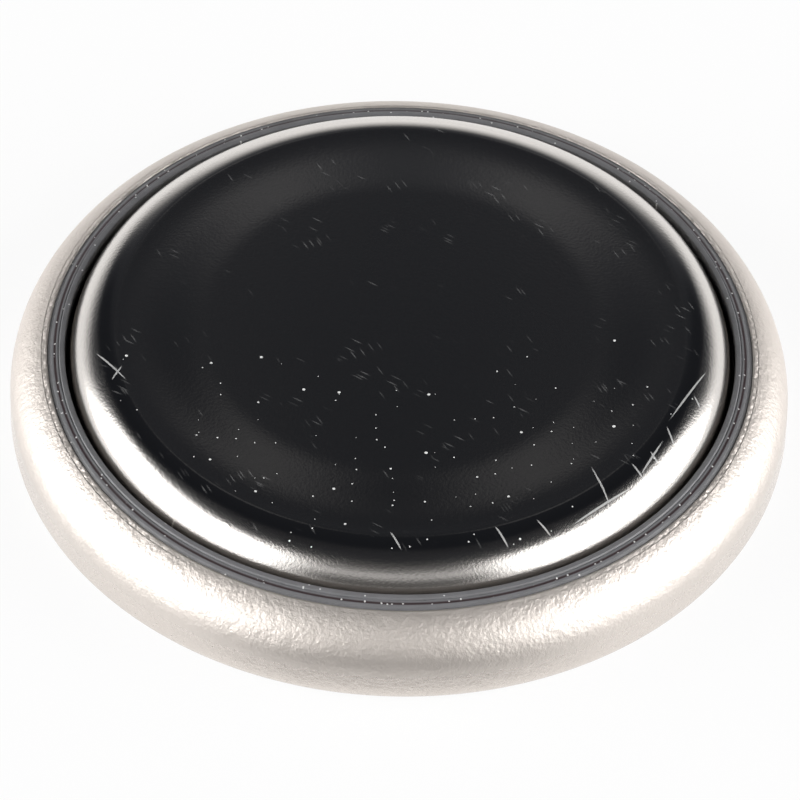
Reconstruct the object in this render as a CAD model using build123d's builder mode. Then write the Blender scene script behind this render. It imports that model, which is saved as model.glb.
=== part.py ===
"""Lithium manganese dioxide coin cell, 20.0 mm across and 3.2 mm thick.

The cell stands on its wide positive can, with the narrower negative cap facing up. Every piece is a
body of revolution about Z, so each profile is drawn in the XZ plane, as radius against height, and
turned a full circle. Sizes are in millimetres. The origin is the middle of the can's flat bottom.
"""

from math import cos, radians, sin
import os

from build123d import *

# Whole cell
cell_diameter = 20.0
cell_height = 3.2

# Positive can: a drawn steel cup whose mouth is rolled in over the gasket
can_steel = 0.25
can_corner_radius = 0.32
crimp_radius = 1.40
crimp_angle = 71.0

# Negative cap: a stepped steel dish that stands proud of the can's lip
cap_steel = 0.25
cap_rise = 0.87
cap_edge_radius = 1.20
cap_step_radius = 0.50
cap_root_radius = 0.10

# Gasket: a moulded ring that lines the can's wall and hooks under the cap's skirt
gasket_wall = 0.42
gasket_floor = 0.35
gasket_hook = 0.28
gasket_hook_clearance = 0.05
gasket_crimped = 0.36
gasket_band = 0.47
gasket_bead = 0.15
gasket_band_rise = 0.05
gasket_bead_rise = 0.10
gasket_lip_recess = 0.10
gasket_lip_grip = 0.70
cap_groove = 0.10

# Electrodes and what parts them
lithium_thickness = 0.65
lithium_edge_clearance = 0.05
separator_thickness = 0.20
separator_edge_clearance = 0.10
pellet_diameter = 15.4
pellet_edge_chamfer = 0.12
ring_steel = 0.20
ring_foot_thickness = 0.15
ring_foot_width = 1.20
ring_height = 1.10

# Places that follow from the sizes above
can_radius = cell_diameter / 2
can_bore = can_radius - can_steel
crimp_bore = crimp_radius - can_steel
corner_bore = can_corner_radius - can_steel

lip_height = cell_height - cap_rise
wall_top = lip_height - crimp_radius * sin(radians(crimp_angle))
crimp_centre = can_radius - crimp_radius
lip_out = Vector(crimp_centre + crimp_radius * cos(radians(crimp_angle)), lip_height)
lip_in = Vector(
    crimp_centre + crimp_bore * cos(radians(crimp_angle)),
    wall_top + crimp_bore * sin(radians(crimp_angle)),
)

gasket_mouth = lip_out.X - gasket_band
cap_radius = gasket_mouth - cap_groove
cap_bore = cap_radius - cap_steel
cap_ceiling = cell_height - cap_steel
cap_step_height = lip_in.Y - gasket_crimped
skirt_radius = can_bore - gasket_wall
skirt_bore = skirt_radius - cap_steel
skirt_bottom = can_steel + gasket_floor
gasket_bore = skirt_bore - gasket_hook
hook_top = cap_step_height - cap_step_radius - gasket_hook_clearance

lithium_radius = cap_bore - (cap_edge_radius - cap_steel) - lithium_edge_clearance
separator_radius = cap_bore - separator_edge_clearance
lithium_bottom = cap_ceiling - lithium_thickness
separator_bottom = lithium_bottom - separator_thickness
pellet_radius = pellet_diameter / 2
foot_radius = pellet_radius + ring_steel - ring_foot_width
foot_top = can_steel + ring_foot_thickness


# Positive can: flat floor, rounded corner, straight wall and the rolled-in mouth, one sheet throughout
with BuildPart() as positive_can:
    with BuildSketch(Plane.XZ):
        with BuildLine():
            floor = Line((0, 0), (can_radius - can_corner_radius, 0))
            corner = JernArc(floor @ 1, floor % 1, can_corner_radius, 90)
            wall = Line(corner @ 1, (can_radius, wall_top))
            mouth = JernArc(wall @ 1, wall % 1, crimp_radius, crimp_angle)
            offset(amount=can_steel, side=Side.LEFT)
        make_face()
    revolve(axis=Axis.Z)

# Negative cap: flat face, rounded edge, short wall, step under the crimp and the skirt in the gasket
with BuildPart() as negative_cap:
    with BuildSketch(Plane.XZ):
        with BuildLine():
            FilletPolyline(
                (0, cell_height),
                (cap_radius, cell_height),
                (cap_radius, cap_step_height),
                (skirt_radius, cap_step_height),
                (skirt_radius, skirt_bottom),
                radius=[cap_edge_radius, min(cap_root_radius, cap_groove), cap_step_radius],
            )
            offset(amount=cap_steel, side=Side.RIGHT)
        make_face()
    revolve(axis=Axis.Z)

# Gasket: outside, it lies against the can; inside, it lies against the cap's step and skirt. Its mouth
# shows between the two as a band beside the lip and a narrow bead beside the groove.
with BuildPart() as sealing_gasket:
    with BuildSketch(Plane.XZ):
        with BuildLine():
            base = Line((gasket_bore, can_steel), (can_bore - corner_bore, can_steel))
            heel = JernArc(base @ 1, base % 1, corner_bore, 90)
            back = Line(heel @ 1, (can_bore, wall_top))
            crown = JernArc(back @ 1, back % 1, crimp_bore, crimp_angle)
            grip = Line(crown @ 1, lip_in + (lip_out - lip_in) * gasket_lip_grip)
            rise = Line(grip @ 1, (lip_out.X - gasket_lip_recess, lip_height))
            band = Line(rise @ 1, (gasket_mouth + gasket_bead, lip_height + gasket_band_rise))
            bead = Polyline(
                band @ 1,
                (gasket_mouth + gasket_bead, lip_height + gasket_bead_rise),
                (gasket_mouth, lip_height + gasket_bead_rise),
                (gasket_mouth, cap_step_height),
            )
            seat = Line(bead @ 1, (skirt_radius - cap_step_radius, cap_step_height))
            bend = JernArc(seat @ 1, seat % 1, cap_step_radius, -90)
            hook = Polyline(
                bend @ 1,
                (skirt_radius, skirt_bottom),
                (skirt_bore, skirt_bottom),
                (skirt_bore, hook_top),
                (gasket_bore, hook_top),
                base @ 0,
            )
        make_face()
    revolve(axis=Axis.Z)

# Lithium disc: punched foil pressed against the inside of the cap
with BuildPart() as lithium_disc:
    with BuildSketch(Plane.XY.offset(lithium_bottom)):
        Circle(lithium_radius)
    extrude(amount=lithium_thickness)

# Separator: a disc of non-woven felt between the lithium and the pellet
with BuildPart() as separator_disc:
    with BuildSketch(Plane.XY.offset(separator_bottom)):
        Circle(separator_radius)
    extrude(amount=separator_thickness)

# Cathode pellet: pressed powder, moulded over the ring's foot, with its upper edge broken
with BuildPart() as cathode_pellet:
    with BuildSketch(Plane.XZ):
        with BuildLine():
            Polyline(
                (0, can_steel),
                (foot_radius, can_steel),
                (foot_radius, foot_top),
                (pellet_radius, foot_top),
                (pellet_radius, separator_bottom),
                (0, separator_bottom),
                close=True,
            )
        make_face()
    revolve(axis=Axis.Z)
    chamfer(edges().filter_by(GeomType.CIRCLE).group_by(Axis.Z)[-1], pellet_edge_chamfer)

# Cathode ring: an L-section steel ring that holds the pellet's edge and carries its current to the can
with BuildPart() as cathode_ring:
    with BuildSketch(Plane.XZ):
        with BuildLine():
            Polyline(
                (foot_radius, can_steel),
                (pellet_radius + ring_steel, can_steel),
                (pellet_radius + ring_steel, can_steel + ring_height),
                (pellet_radius, can_steel + ring_height),
                (pellet_radius, foot_top),
                (foot_radius, foot_top),
                close=True,
            )
        make_face()
    revolve(axis=Axis.Z)

positive_can.part.label = "positive_can"
sealing_gasket.part.label = "sealing_gasket"
negative_cap.part.label = "negative_cap"
lithium_disc.part.label = "lithium_disc"
separator_disc.part.label = "separator_disc"
cathode_pellet.part.label = "cathode_pellet"
cathode_ring.part.label = "cathode_ring"

os.makedirs("parts", exist_ok=True)
export_step(positive_can.part, "parts/positive_can.step")
export_step(sealing_gasket.part, "parts/sealing_gasket.step")
export_step(negative_cap.part, "parts/negative_cap.step")
export_step(lithium_disc.part, "parts/lithium_disc.step")
export_step(separator_disc.part, "parts/separator_disc.step")
export_step(cathode_pellet.part, "parts/cathode_pellet.step")
export_step(cathode_ring.part, "parts/cathode_ring.step")
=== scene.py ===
"""Looks of a round lithium coin cell: steel can, plastic gasket and polished cap, on a white table.

The three pieces that show are turned from their profiles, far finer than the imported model, and take
its sizes. Profiles are in millimetres, as radius against height, and turned about Z. The electrodes
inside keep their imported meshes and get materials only.
"""

from math import cos, pi, radians, sin

import bmesh
import bpy
import numpy as np
from mathutils import Matrix, Vector


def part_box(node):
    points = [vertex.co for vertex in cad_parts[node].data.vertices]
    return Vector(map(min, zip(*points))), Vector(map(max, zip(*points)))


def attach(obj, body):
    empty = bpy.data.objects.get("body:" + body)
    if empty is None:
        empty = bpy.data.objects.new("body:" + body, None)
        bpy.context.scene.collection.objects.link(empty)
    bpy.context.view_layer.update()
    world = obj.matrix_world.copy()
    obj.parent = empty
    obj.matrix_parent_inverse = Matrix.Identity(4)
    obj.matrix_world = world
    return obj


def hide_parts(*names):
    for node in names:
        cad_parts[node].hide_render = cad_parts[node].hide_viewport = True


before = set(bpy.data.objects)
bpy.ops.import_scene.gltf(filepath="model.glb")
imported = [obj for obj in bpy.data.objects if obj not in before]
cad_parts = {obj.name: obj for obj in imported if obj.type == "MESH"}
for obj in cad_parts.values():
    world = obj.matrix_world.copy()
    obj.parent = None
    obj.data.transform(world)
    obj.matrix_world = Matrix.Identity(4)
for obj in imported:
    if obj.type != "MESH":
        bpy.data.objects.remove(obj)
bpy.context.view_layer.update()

MM = 0.001
scene = bpy.context.scene
scene.view_settings.view_transform = "Standard"

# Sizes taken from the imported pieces, in millimetres
can_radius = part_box("positive_can")[1].x / MM
lip_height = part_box("positive_can")[1].z / MM
cell_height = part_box("negative_cap")[1].z / MM
skirt_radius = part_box("negative_cap")[1].x / MM
skirt_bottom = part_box("negative_cap")[0].z / MM
gasket_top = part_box("sealing_gasket")[1].z / MM

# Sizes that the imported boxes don't give, in millimetres
steel = 0.25
can_corner_radius = 0.32
crimp_radius = 1.40
crimp_degrees = 71
crimp_angle = radians(crimp_degrees)
gasket_band = 0.47
gasket_bead = 0.15
gasket_hook = 0.28
gasket_hook_clearance = 0.05
cap_groove = 0.10
gasket_crimped = 0.36
cap_step_radius = 0.50
cap_root_radius = 0.10
lip_recess = 0.10
band_rise = 0.05
lip_grip = 0.70
grip_lean = 0.01
soft_edge = 0.03
crease_width = 0.05
crease_depth = 0.035
crown_drop = 0.025
crown_start = 4.9
crown_end = 6.8
cap_edge_radius = 1.20

crimp_centre = can_radius - crimp_radius
wall_top = lip_height - crimp_radius * sin(crimp_angle)
cap_step_height = lip_height - steel * sin(crimp_angle) - gasket_crimped
hook_top = cap_step_height - cap_step_radius - gasket_hook_clearance
lip_radius = crimp_centre + crimp_radius * cos(crimp_angle)
gasket_mouth = lip_radius - gasket_band
cap_radius = gasket_mouth - cap_groove
gasket_bore = skirt_radius - steel - gasket_hook
band_edge = lip_radius - lip_recess
bead_edge = gasket_mouth + gasket_bead
crease_radius = (band_edge + bead_edge) / 2

turned_steps = 384


# ---------------------------------------------------------------- profiles

def arc(centre, radius, start, end, steps):
    """Points of an arc, from one angle to another in degrees, both ends included."""
    angles = np.radians(np.linspace(start, end, steps + 1))
    return [(centre[0] + radius * cos(a), centre[1] + radius * sin(a)) for a in angles]


def run(start, end, steps):
    """Points of a straight stretch, without its last point."""
    ts = np.arange(steps) / steps
    return [(start[0] + (end[0] - start[0]) * t, start[1] + (end[1] - start[1]) * t) for t in ts]


def lathe(name, outline, reshape=None):
    """A closed outline turned a full circle about Z. reshape gives new heights from radius and height."""
    outline = np.array(outline)
    angles = np.arange(turned_steps) * 2 * pi / turned_steps
    radius, angle = np.meshgrid(outline[:, 0], angles)
    height = np.meshgrid(outline[:, 1], angles)[0]
    if reshape:
        height = reshape(radius, height)
    points = np.stack([radius * np.cos(angle), radius * np.sin(angle), height], -1).reshape(-1, 3) * MM
    count = len(outline)
    on_axis = outline[:, 0] < 1e-6
    faces = []
    for s in range(turned_steps):
        for i in range(count):
            j = (i + 1) % count
            if on_axis[i] and on_axis[j]:
                continue
            here = s * count
            there = (s + 1) % turned_steps * count
            faces.append((here + i, there + i, there + j, here + j))
    mesh = bpy.data.meshes.new(name)
    mesh.from_pydata(points.tolist(), [], faces)
    mesh.validate()
    piece = bpy.data.objects.new(name, mesh)
    scene.collection.objects.link(piece)
    return piece


def weld(piece):
    """Joins the points that meet on the axis, and turns every face outwards."""
    work = bmesh.new()
    work.from_mesh(piece.data)
    bmesh.ops.remove_doubles(work, verts=work.verts, dist=1e-8)
    bmesh.ops.dissolve_degenerate(work, edges=work.edges, dist=1e-9)
    bmesh.ops.recalc_face_normals(work, faces=work.faces)
    work.to_mesh(piece.data)
    work.free()
    piece.data.shade_smooth()


def can_outline():
    inner = crimp_radius - steel
    points = run((0, 0), (can_radius - can_corner_radius, 0), 30)
    points += arc((can_radius - can_corner_radius, can_corner_radius), can_corner_radius, -90, 0, 14)
    points += run((can_radius, can_corner_radius), (can_radius, wall_top), 4)[1:]
    points += arc((crimp_centre, wall_top), crimp_radius, 0, crimp_degrees, 40)
    points += arc((crimp_centre, wall_top), inner, crimp_degrees, 0, 24)
    points += run((can_radius - steel, wall_top), (can_radius - steel, can_corner_radius), 3)[1:]
    points += arc((can_radius - can_corner_radius, can_corner_radius), can_corner_radius - steel, 0, -90, 8)
    points += [(0, steel)]
    return points


def cap_outline():
    edge = (cap_radius - cap_edge_radius, cell_height - cap_edge_radius)
    points = run((0, cell_height), (edge[0], cell_height), 90)
    points += arc(edge, cap_edge_radius, 90, 0, 40)
    root = (cap_radius + cap_root_radius, cap_step_height + cap_root_radius)
    points += arc(root, cap_root_radius, 180, 270, 8)
    step = (skirt_radius - cap_step_radius, cap_step_height - cap_step_radius)
    points += arc(step, cap_step_radius, 90, 0, 12)
    points += [(skirt_radius, skirt_bottom), (skirt_radius - steel, skirt_bottom)]
    points += arc(step, cap_step_radius - steel, 0, 90, 8)
    points += arc(root, cap_root_radius + steel, 270, 180, 10)
    points += arc(edge, cap_edge_radius - steel, 0, 90, 12)
    points += [(0, cell_height - steel)]
    return points


def gasket_outline():
    inner = crimp_radius - steel
    lip_in = (crimp_centre + inner * cos(crimp_angle), wall_top + inner * sin(crimp_angle))
    grip = (lip_in[0] + lip_grip * (lip_radius - lip_in[0]), lip_in[1] + lip_grip * (lip_height - lip_in[1]))
    points = run((gasket_bore, steel), (can_radius - can_corner_radius, steel), 2)
    points += arc((can_radius - can_corner_radius, can_corner_radius), can_corner_radius - steel, -90, 0, 8)
    points += arc((crimp_centre, wall_top), inner, 0, crimp_degrees, 20)
    band_top = lip_height + band_rise
    points += [grip, (grip[0] - grip_lean, lip_height - soft_edge)]
    points += arc((band_edge - soft_edge, lip_height - soft_edge), soft_edge, 0, 90, 5)
    points += [(crease_radius + crease_width, (lip_height + band_top) / 2)]
    points += [(crease_radius, band_top - crease_depth), (crease_radius - crease_width, band_top)]
    points += arc((bead_edge + soft_edge, band_top - soft_edge), soft_edge, 90, 150, 3)
    points += arc((bead_edge - soft_edge, gasket_top - soft_edge), soft_edge, 0, 90, 5)
    points += arc((gasket_mouth + soft_edge, gasket_top - soft_edge), soft_edge, 90, 180, 5)
    points += [(gasket_mouth, cap_step_height)]
    step = (skirt_radius - cap_step_radius, cap_step_height - cap_step_radius)
    points += arc(step, cap_step_radius, 90, 0, 12)
    points += [(skirt_radius, skirt_bottom), (skirt_radius - steel, skirt_bottom)]
    points += [(skirt_radius - steel, hook_top), (gasket_bore, hook_top)]
    return points


def crowned(radius, height):
    """The cap's face sinks a little in a ring round its middle, as pressed sheet does."""
    t = np.clip((radius - crown_start) / (crown_end - crown_start), 0, 1)
    sink = crown_drop * (1 - np.cos(pi * t)) / 2
    back = (1 + np.cos(pi * np.clip((radius - crown_end) / (cap_radius - crown_end), 0, 1))) / 2
    return height - sink * back * (height > cap_step_height + steel + cap_root_radius)


can = lathe("positive_can_shell", can_outline())
cap = lathe("negative_cap_shell", cap_outline(), crowned)
gasket = lathe("sealing_gasket_ring", gasket_outline())
for piece, cad_node, slot in (
    (can, "positive_can", "can_steel"),
    (cap, "negative_cap", "cap_steel"),
    (gasket, "sealing_gasket", "gasket_plastic"),
):
    weld(piece)
    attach(piece, "root")
    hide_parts(cad_node)


# ---------------------------------------------------------------- materials

def colour(hex_code):
    """An sRGB hex colour as linear RGBA."""
    parts = [int(hex_code[i:i + 2], 16) / 255 for i in (1, 3, 5)]
    linear = [c / 12.92 if c <= 0.04045 else ((c + 0.055) / 1.055) ** 2.4 for c in parts]
    return (*linear, 1)


def add(tree, kind, inputs, stops=(), **settings):
    """Adds a node with its settings and any ramp stops, and sets its inputs or links them to other nodes."""
    made = tree.nodes.new("ShaderNode" + kind)
    for name, value in settings.items():
        setattr(made, name, value)
    for index, (position, hex_code) in enumerate(stops):
        ramp = made.color_ramp.elements
        stop = ramp[index] if index < 2 else ramp.new(position)
        stop.position = position
        stop.color = colour(hex_code)
    for name, value in inputs.items():
        if isinstance(value, bpy.types.Node):
            value = value.outputs[0]
        if isinstance(value, bpy.types.NodeSocket):
            tree.links.new(value, made.inputs[name])
        else:
            made.inputs[name].default_value = value
    return made


def material(name):
    """An empty material, its node tree, and places on the object in millimetres."""
    made = bpy.data.materials.new(name)
    made.use_nodes = True
    tree = made.node_tree
    tree.nodes.clear()
    metres = add(tree, "TexCoord", {})
    place = add(tree, "VectorMath", {0: metres.outputs["Object"], "Scale": 1 / MM}, operation="SCALE")
    return made, tree, place


def nickel_plated_steel():
    """Drawn and crimped can: satin nickel plate with fine orange peel, and a torn bright burr on its lip."""
    peel_size = 0.30
    grain_size = 0.09
    bead_size = 0.13
    cloud_size = 2.5
    burr_start = lip_height - 0.060
    burr_full = lip_height - 0.045
    made, tree, place = material("nickel_plated_steel")
    axes = add(tree, "SeparateXYZ", {"Vector": place})
    peel = add(tree, "TexNoise", {"Vector": place, "Scale": 1 / peel_size})
    grain = add(tree, "TexNoise", {"Vector": place, "Scale": 1 / grain_size, "Detail": 3.0,
                                   "Roughness": 0.6})
    beads = add(tree, "TexVoronoi", {"Vector": place, "Scale": 1 / bead_size, "Smoothness": 0.4},
                feature="SMOOTH_F1")

    # The burr is raised on the lip only, and most of it is at the two sides
    on_lip = add(tree, "MapRange", {"Value": axes.outputs["Z"], "From Min": burr_start, "From Max": burr_full},
                 interpolation_type="SMOOTHSTEP")
    off_middle = add(tree, "Math", {0: axes.outputs["X"]}, operation="ABSOLUTE")
    at_sides = add(tree, "MapRange", {"Value": off_middle, "From Min": 5.0, "From Max": 7.5, "To Min": 0.15},
                   interpolation_type="SMOOTHSTEP")
    share = add(tree, "Math", {0: on_lip, 1: at_sides}, operation="MULTIPLY")
    relief = add(tree, "Math", {0: beads.outputs["Distance"], 1: share}, operation="MULTIPLY")
    coarse = add(tree, "Bump", {"Height": peel, "Distance": 0.022 * MM})
    fine = add(tree, "Bump", {"Height": grain, "Distance": 0.018 * MM, "Normal": coarse})
    burr = add(tree, "Bump", {"Height": relief, "Distance": -0.03 * MM, "Normal": fine})

    # Smoother near the foot, duller where the sheet was drawn over the crimp
    drawn = add(tree, "MapRange", {"Value": axes.outputs["Z"], "From Min": 0.7, "From Max": 1.7,
                                   "To Min": 0.26, "To Max": 0.48}, interpolation_type="SMOOTHSTEP")
    least = add(tree, "Math", {0: drawn, 1: 0.05}, operation="SUBTRACT")
    rough = add(tree, "Math", {0: grain, 1: 0.10, 2: least}, operation="MULTIPLY_ADD")
    cloud = add(tree, "TexNoise", {"Vector": place, "Scale": 1 / cloud_size, "Detail": 3.0})
    plate = add(tree, "Mix", {0: cloud, 6: colour("#E2DAD3"), 7: colour("#D8D0C9")}, data_type="RGBA")
    satin = add(tree, "BsdfPrincipled", {"Base Color": plate.outputs[2], "Metallic": 0.82,
                                         "Roughness": rough, "Normal": burr})
    add(tree, "OutputMaterial", {"Surface": satin})
    return made


# Scratches on the cap's face: middle x, middle y, length and direction, in millimetres and degrees
scratches = [
    (7.33, -2.08, 1.94, 63), (7.59, -2.28, 0.45, -62), (6.88, -3.53, 0.55, -70), (6.40, -4.30, 1.17, 64),
    (6.48, -4.30, 0.39, -57), (6.05, -4.78, 0.46, -52), (5.12, -5.34, 1.20, -68), (5.17, -5.93, 1.93, 42),
    (3.71, -6.81, 0.52, -46), (2.66, -7.17, 0.62, -58), (0.02, -7.44, 0.57, -62), (-7.33, -1.64, 1.19, -51),
    (-7.17, -1.90, 0.48, 63),
]
scratch_width = 0.030
whole_depth = 1000.0


def polished_steel():
    """Pressed cap: mirror-bright steel that looks black under a dark ceiling, with dust, scuffs, scratches."""
    grain_size = 0.07
    patch_size = 1.6
    made, tree, place = material("polished_stainless_steel")
    axes = add(tree, "SeparateXYZ", {"Vector": place})
    face = add(tree, "MapRange", {"Value": axes.outputs["Z"], "From Min": cell_height - 0.12,
                                  "From Max": cell_height - 0.05}, interpolation_type="SMOOTHSTEP")
    grain = add(tree, "TexNoise", {"Vector": place, "Scale": 1 / grain_size})
    rough = add(tree, "MapRange", {"Value": face, "To Min": 0.19, "To Max": 0.09},
                interpolation_type="SMOOTHSTEP")

    # Long scratches
    marks = 0.0
    for x, y, length, direction in scratches:
        along = add(tree, "Mapping", {"Vector": place, "Location": (x, y, 0.0),
                                      "Rotation": (0.0, 0.0, radians(direction)),
                                      "Scale": (length * 0.6, scratch_width, whole_depth)},
                    vector_type="TEXTURE")
        line = add(tree, "TexGradient", {"Vector": along}, gradient_type="SPHERICAL")
        marks = add(tree, "Math", {0: marks, 1: line.outputs["Fac"]}, operation="MAXIMUM")
    marks = add(tree, "MapRange", {"Value": marks, "From Min": 0.02, "From Max": 0.35, "To Max": 0.5},
                interpolation_type="SMOOTHSTEP")

    # Short scuffs, dense in patches
    patches = add(tree, "TexNoise", {"Vector": place, "Scale": 1 / patch_size})
    patch = add(tree, "MapRange", {"Value": patches, "From Min": 0.52, "From Max": 0.66},
                interpolation_type="SMOOTHSTEP")
    for direction, offset in ((-32, 3.1), (-60, 7.7)):
        turned = add(tree, "Mapping", {"Vector": place, "Location": (offset, offset, 0.0),
                                       "Rotation": (0.0, 0.0, radians(direction)),
                                       "Scale": (0.80, 0.10, whole_depth)}, vector_type="TEXTURE")
        cells = add(tree, "TexVoronoi", {"Vector": turned, "Scale": 1.0}, voronoi_dimensions="2D")
        chance = add(tree, "SeparateColor", {"Color": cells.outputs["Color"]})
        scuff = add(tree, "MapRange", {"Value": cells.outputs["Distance"], "From Min": 0.26,
                                       "From Max": 0.05, "To Max": 0.10}, interpolation_type="SMOOTHSTEP")
        kept = add(tree, "Math", {0: chance.outputs["Red"], 1: 0.84}, operation="GREATER_THAN")
        scuff = add(tree, "Math", {0: scuff, 1: kept}, operation="MULTIPLY")
        scuff = add(tree, "Math", {0: scuff, 1: patch}, operation="MULTIPLY")
        marks = add(tree, "Math", {0: marks, 1: scuff}, operation="MAXIMUM")

    # Dust specks, more of them towards the front
    front = add(tree, "MapRange", {"Value": axes.outputs["Y"], "From Min": 3.0, "From Max": -4.0,
                                   "To Min": 0.35}, interpolation_type="SMOOTHSTEP")
    for spacing, size, bare_share in ((1.1, 0.042, 0.52), (0.50, 0.022, 0.72)):
        cells = add(tree, "TexVoronoi", {"Vector": place, "Scale": 1 / spacing}, voronoi_dimensions="2D")
        chance = add(tree, "SeparateColor", {"Color": cells.outputs["Color"]})
        radius = add(tree, "Math", {0: chance.outputs["Green"], 1: 0.6 * size / spacing,
                                    2: 0.4 * size / spacing}, operation="MULTIPLY_ADD")
        speck = add(tree, "Math", {0: cells.outputs["Distance"], 1: radius}, operation="LESS_THAN")
        likely = add(tree, "Math", {0: chance.outputs["Red"], 1: front}, operation="MULTIPLY")
        kept = add(tree, "Math", {0: likely, 1: bare_share}, operation="GREATER_THAN")
        speck = add(tree, "Math", {0: speck, 1: kept}, operation="MULTIPLY")
        marks = add(tree, "Math", {0: marks, 1: speck}, operation="MAXIMUM")

    # Marks lie on the face alone, and a brown film of painted shade darkens the foot of the wall in the groove
    upper = add(tree, "MapRange", {"Value": axes.outputs["Z"], "From Min": cell_height - 0.30,
                                   "From Max": cell_height - 0.16}, interpolation_type="SMOOTHSTEP")
    marks = add(tree, "Math", {0: marks, 1: upper}, operation="MULTIPLY")
    groove_shade = add(tree, "MapRange", {"Value": axes.outputs["Z"], "From Min": lip_height + 0.25,
                                   "From Max": lip_height + 0.02, "To Max": 0.22},
                interpolation_type="SMOOTHSTEP")
    calmer = add(tree, "MapRange", {"Value": face, "To Min": 1.0, "To Max": 0.15},
                 interpolation_type="SMOOTHSTEP")
    rubbed = add(tree, "Math", {0: grain, 1: calmer}, operation="MULTIPLY")
    bump = add(tree, "Bump", {"Height": rubbed, "Distance": 0.004 * MM})
    bright = add(tree, "Mix", {0: grain, 6: colour("#E2DDD8"), 7: colour("#D6D2CE")}, data_type="RGBA")
    white = add(tree, "Mix", {0: grain, 6: colour("#F4F4F2"), 7: colour("#DCDCDA")}, data_type="RGBA")
    shade_brown = add(tree, "Mix", {0: grain, 6: colour("#8C8278"), 7: colour("#6E655C")}, data_type="RGBA")
    mirror = add(tree, "BsdfPrincipled", {"Base Color": bright.outputs[2], "Metallic": 1.0,
                                          "Roughness": rough, "Normal": bump})
    dust = add(tree, "BsdfPrincipled", {"Base Color": white.outputs[2], "Roughness": 0.8})
    # The brown film is painted shade at the foot of the wall, in the groove
    shade_film = add(tree, "BsdfPrincipled", {"Base Color": shade_brown.outputs[2], "Roughness": 0.6})
    shaded = add(tree, "MixShader", {0: groove_shade, 1: mirror, 2: shade_film})
    both = add(tree, "MixShader", {0: marks, 1: shaded, 2: dust})
    add(tree, "OutputMaterial", {"Surface": both})
    return made


def polypropylene():
    """Moulded and crimped gasket: grey, half glossy, coloured darker and reddish along its crease, with bright
    fibres caught in it.
    """
    cloud_size = 0.5
    lint_spacing = 0.14
    peel_size = 0.10
    made, tree, place = material("moulded_polypropylene")
    flat = add(tree, "VectorMath", {0: place, 1: (1.0, 1.0, 0.0)}, operation="MULTIPLY")
    radius = add(tree, "VectorMath", {0: flat}, operation="LENGTH")
    off_crease = add(tree, "Math", {0: radius.outputs["Value"], 1: crease_radius}, operation="SUBTRACT")
    off_crease = add(tree, "Math", {0: off_crease}, operation="ABSOLUTE")
    in_crease = add(tree, "MapRange", {"Value": off_crease, "From Min": 0.05, "From Max": 0.01},
               interpolation_type="SMOOTHSTEP")
    cloud = add(tree, "TexNoise", {"Vector": place, "Scale": 1 / cloud_size, "Detail": 4.0,
                                   "Roughness": 0.6})

    # Lint lies anywhere, and much more of it in the crease
    cells = add(tree, "TexVoronoi", {"Vector": place, "Scale": 1 / lint_spacing}, voronoi_dimensions="2D")
    chance = add(tree, "SeparateColor", {"Color": cells.outputs["Color"]})
    small = add(tree, "Math", {0: cells.outputs["Distance"], 1: 0.17}, operation="LESS_THAN")
    bare_share = add(tree, "MapRange", {"Value": in_crease, "To Min": 0.97, "To Max": 0.72},
                     interpolation_type="SMOOTHSTEP")
    kept = add(tree, "Math", {0: chance.outputs["Red"], 1: bare_share}, operation="GREATER_THAN")
    lint = add(tree, "Math", {0: small, 1: kept}, operation="MULTIPLY")

    grey = add(tree, "Mix", {0: cloud, 6: colour("#808082"), 7: colour("#646466")}, data_type="RGBA")
    # The band is coloured dark and reddish along its crease
    crease_darkened = add(tree, "Mix", {0: in_crease, 6: grey.outputs[2], 7: colour("#3A2E30")}, data_type="RGBA")
    dusty = add(tree, "Mix", {0: lint, 6: crease_darkened.outputs[2], 7: colour("#D8D8D6")}, data_type="RGBA")
    peel = add(tree, "TexNoise", {"Vector": place, "Scale": 1 / peel_size, "Detail": 3.0})
    bump = add(tree, "Bump", {"Height": peel, "Distance": 0.010 * MM})
    rough = add(tree, "MapRange", {"Value": cloud, "From Min": 0.3, "From Max": 0.7, "To Min": 0.30,
                                   "To Max": 0.45}, interpolation_type="SMOOTHSTEP")
    plastic = add(tree, "BsdfPrincipled", {"Base Color": dusty.outputs[2], "IOR": 1.49,
                                           "Roughness": rough, "Normal": bump})
    add(tree, "OutputMaterial", {"Surface": plastic})
    return made


def powdery(name, pale, dark, size, roughness, metallic, depth):
    """A grainy solid: its colour and its height both follow grains of that size in millimetres."""
    made, tree, place = material(name)
    grains = add(tree, "TexNoise", {"Vector": place, "Scale": 1 / size, "Detail": 4.0, "Roughness": 0.6})
    bump = add(tree, "Bump", {"Height": grains, "Distance": depth * MM})
    mottled = add(tree, "Mix", {0: grains, 6: colour(pale), 7: colour(dark)}, data_type="RGBA")
    solid = add(tree, "BsdfPrincipled", {"Base Color": mottled.outputs[2], "Metallic": metallic,
                                         "Roughness": roughness, "Normal": bump})
    add(tree, "OutputMaterial", {"Surface": solid})
    return made


can.data.materials.append(nickel_plated_steel())
cap.data.materials.append(polished_steel())
gasket.data.materials.append(polypropylene())
inner_finishes = {
    # Soft rolled foil that has dulled to a grey skin in blotches
    "lithium_disc": powdery("rolled_lithium_foil", "#C9CBCC", "#8E9193", 1.2, 0.45, 1.0, 0.004),
    # Matted white fibres, soaked and matt
    "separator_disc": powdery("polypropylene_felt", "#F1F0EA", "#D2D1CA", 0.08, 0.9, 0.0, 0.03),
    # Pressed black oxide and graphite, dull and grainy
    "cathode_pellet": powdery("manganese_dioxide_powder", "#2A2A2C", "#161618", 0.12, 0.75, 0.0, 0.02),
    # Thin stamped sheet, rolled to a soft sheen
    "cathode_ring": powdery("stamped_stainless_steel", "#CFCBC6", "#BBB7B2", 0.25, 0.35, 1.0, 0.003),
}
for name, finish in inner_finishes.items():
    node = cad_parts[name]
    node.data.materials.clear()
    node.data.materials.append(finish)


# ---------------------------------------------------------------- camera

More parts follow.
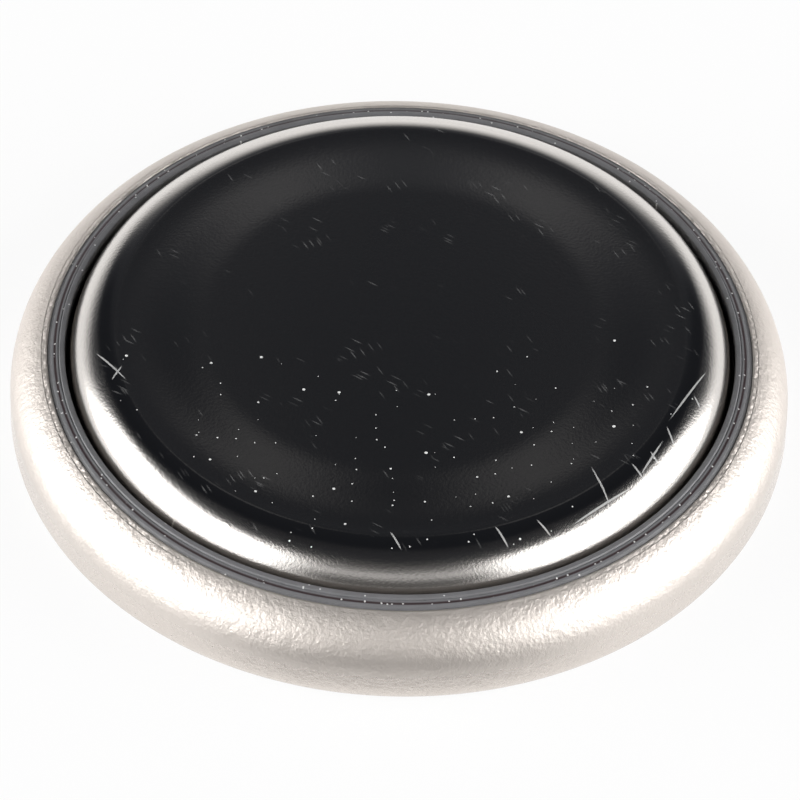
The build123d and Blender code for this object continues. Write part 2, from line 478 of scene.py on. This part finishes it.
elevation = radians(45.85)
roll = radians(1.6)
distance = 200 * MM
middle = Vector((0, 0, cell_height / 2 * MM))
towards = Vector((0, -cos(elevation), sin(elevation)))
right = Vector((1, 0, 0))
up = Vector((0, sin(elevation), cos(elevation)))
aim = middle - up * 0.763 * MM + right * 0.028 * MM
camera = bpy.data.objects.new("camera", bpy.data.cameras.new("camera"))
scene.collection.objects.link(camera)
camera.data.lens = 350.5
camera.data.clip_start = 0.01
turn = Matrix((right, up, towards)).transposed().to_4x4()
camera.matrix_world = Matrix.Translation(aim + towards * distance) @ turn @ Matrix.Rotation(roll, 4, "Z")
scene.camera = camera


# ---------------------------------------------------------------- table and light

# The table lies a hair below the can, so that the two don't share a plane
reach = 3.0
under = -0.02 * MM
corners = [(-reach, -reach, under), (reach, -reach, under), (reach, reach, under), (-reach, reach, under)]
floor_mesh = bpy.data.meshes.new("table")
floor_mesh.from_pydata(corners, [], [(0, 1, 2, 3)])
floor = bpy.data.objects.new("table", floor_mesh)
scene.collection.objects.link(floor)

# White paper. In the metal the strip ahead of the cell shows darker, as paper does in a shadow: this is a
# painted shadow, seen in reflections only
strip_length = 40
paper_share = 0.9
made, tree, place = material("white_table")
path = add(tree, "LightPath", {})
axes = add(tree, "SeparateXYZ", {"Vector": place})
seen = add(tree, "Math", {0: path.outputs["Is Camera Ray"], 1: path.outputs["Is Transmission Ray"]},
           operation="MAXIMUM")
seen = add(tree, "Math", {0: seen, 1: path.outputs["Is Glossy Ray"]}, operation="MAXIMUM")
across = add(tree, "Math", {0: axes.outputs["X"]}, operation="ABSOLUTE")
forward = add(tree, "Math", {0: axes.outputs["Y"], 1: -1.0}, operation="MULTIPLY")
turned = add(tree, "Math", {0: across, 1: forward}, operation="ARCTAN2")
ahead = add(tree, "MapRange", {"Value": turned, "From Min": radians(42), "From Max": radians(14)},
            interpolation_type="SMOOTHSTEP")
# Painted shadow: only reflected rays see the darker strip ahead of the cell
strip = add(tree, "Math", {0: ahead, 1: path.outputs["Is Glossy Ray"]}, operation="MULTIPLY")
far = add(tree, "VectorMath", {0: place}, operation="LENGTH")
along = add(tree, "Math", {0: far.outputs["Value"], 1: 1 / strip_length}, operation="MULTIPLY")
shadow_grey = add(tree, "ValToRGB", {"Fac": along},
                 stops=[(0.0, "#FFFFFF"), (0.257, "#FFFFFF"), (0.265, "#C8C8C8"), (0.290, "#A8A8A8"),
                        (0.330, "#606060"), (0.55, "#484848"), (1.0, "#404040")])
paper_and_shadow = add(tree, "Mix", {0: strip, 6: colour("#FFFFFF"), 7: shadow_grey}, data_type="RGBA")
paper = add(tree, "BsdfDiffuse", {"Color": colour("#F6F6F6")})
glow = add(tree, "Emission", {"Color": paper_and_shadow.outputs[2], "Strength": 1.0})
share = add(tree, "Math", {0: seen, 1: paper_share}, operation="MULTIPLY")
both = add(tree, "MixShader", {0: share, 1: paper, 2: glow})
add(tree, "OutputMaterial", {"Surface": both})
floor.data.materials.append(made)

# A dark room with a pale horizon, a broad softbox on each side of the front, a dim panel ahead, and four
# faint lamps high at the back, which lie on the cap's face as soft patches. Places in it are the parts of
# a direction, from -1 to 1: side is across, height is up
raised_horizon = 0.21
softbox_strength = 5.0
lamp_side = 0.034
lamp_height = 0.71
lamp_gap = 0.035
lamp_radius = 0.028
lamp_core = 0.006
lamp_strength = 0.06
world = bpy.data.worlds.new("studio")
scene.world = world
world.use_nodes = True
tree = world.node_tree
tree.nodes.clear()
place = add(tree, "TexCoord", {})
axes = add(tree, "SeparateXYZ", {"Vector": place.outputs["Generated"]})
height = axes.outputs["Z"]
side = add(tree, "Math", {0: axes.outputs["X"]}, operation="ABSOLUTE")
forward = add(tree, "Math", {0: axes.outputs["Y"], 1: -1.0}, operation="MULTIPLY")
turned = add(tree, "Math", {0: side, 1: forward}, operation="ARCTAN2")
behind = add(tree, "Math", {0: axes.outputs["Y"], 1: 0.0}, operation="GREATER_THAN")

# The room, whose pale horizon stands higher straight behind
raised = add(tree, "MapRange", {"Value": side, "From Min": 0.08, "From Max": 0.45,
                                "To Min": raised_horizon, "To Max": 0.0}, interpolation_type="SMOOTHSTEP")
raised = add(tree, "Math", {0: raised, 1: behind}, operation="MULTIPLY")
level = add(tree, "Math", {0: height, 1: raised}, operation="SUBTRACT")
walls = add(tree, "ValToRGB", {"Fac": level},
            stops=[(0.0, "#FFFFFF"), (0.10, "#EDEDED"), (0.20, "#CDCDCD"), (0.29, "#9F9F9F"),
                   (0.36, "#616264"), (0.43, "#34363A"), (0.52, "#1E2024"), (1.0, "#17191D")])
panel = add(tree, "ValToRGB", {"Fac": height},
            stops=[(0.0, "#484848"), (0.10, "#505050"), (0.19, "#707070"), (0.31, "#9C9C9C"),
                   (0.41, "#C4C4C4"), (0.48, "#B4B4B4"), (0.56, "#8C8C8C"), (0.65, "#707070"),
                   (0.72, "#505050"), (0.90, "#202226")])
ahead = add(tree, "MapRange", {"Value": turned, "From Min": radians(75), "From Max": radians(25)},
            interpolation_type="SMOOTHSTEP")
room = add(tree, "Mix", {0: ahead, 6: walls, 7: panel}, data_type="RGBA")

# The softboxes
front_edge = add(tree, "MapRange", {"Value": turned, "From Min": radians(22), "From Max": radians(65)},
                 interpolation_type="SMOOTHSTEP")
back_edge = add(tree, "MapRange", {"Value": turned, "From Min": radians(122), "From Max": radians(98)},
                interpolation_type="SMOOTHSTEP")
top_edge = add(tree, "MapRange", {"Value": height, "From Min": 0.78, "From Max": 0.55},
               interpolation_type="SMOOTHSTEP")
softbox = add(tree, "Math", {0: front_edge, 1: back_edge}, operation="MULTIPLY")
softbox = add(tree, "Math", {0: softbox, 1: top_edge}, operation="MULTIPLY")

# The four lamps, two and two on each side of the middle and of their height
off_side = add(tree, "Math", {0: side, 1: lamp_side}, operation="SUBTRACT")
off_middle = add(tree, "Math", {0: height, 1: lamp_height}, operation="SUBTRACT")
off_middle = add(tree, "Math", {0: off_middle}, operation="ABSOLUTE")
off_height = add(tree, "Math", {0: off_middle, 1: lamp_gap}, operation="SUBTRACT")
off_lamp = add(tree, "CombineXYZ", {"X": off_side, "Z": off_height})
off_lamp = add(tree, "VectorMath", {0: off_lamp}, operation="LENGTH")
lamp = add(tree, "MapRange", {"Value": off_lamp.outputs["Value"], "From Min": lamp_radius,
                              "From Max": lamp_core, "To Max": lamp_strength},
           interpolation_type="SMOOTHSTEP")
lamp = add(tree, "Math", {0: lamp, 1: behind}, operation="MULTIPLY")

lit = add(tree, "Math", {0: softbox, 1: softbox_strength, 2: lamp}, operation="MULTIPLY_ADD")
lights = add(tree, "Background", {"Color": colour("#FFFFFF"), "Strength": lit})
sky = add(tree, "Background", {"Color": room.outputs[2], "Strength": 1.0})
total = add(tree, "AddShader", {0: sky, 1: lights})
add(tree, "OutputWorld", {"Surface": total})
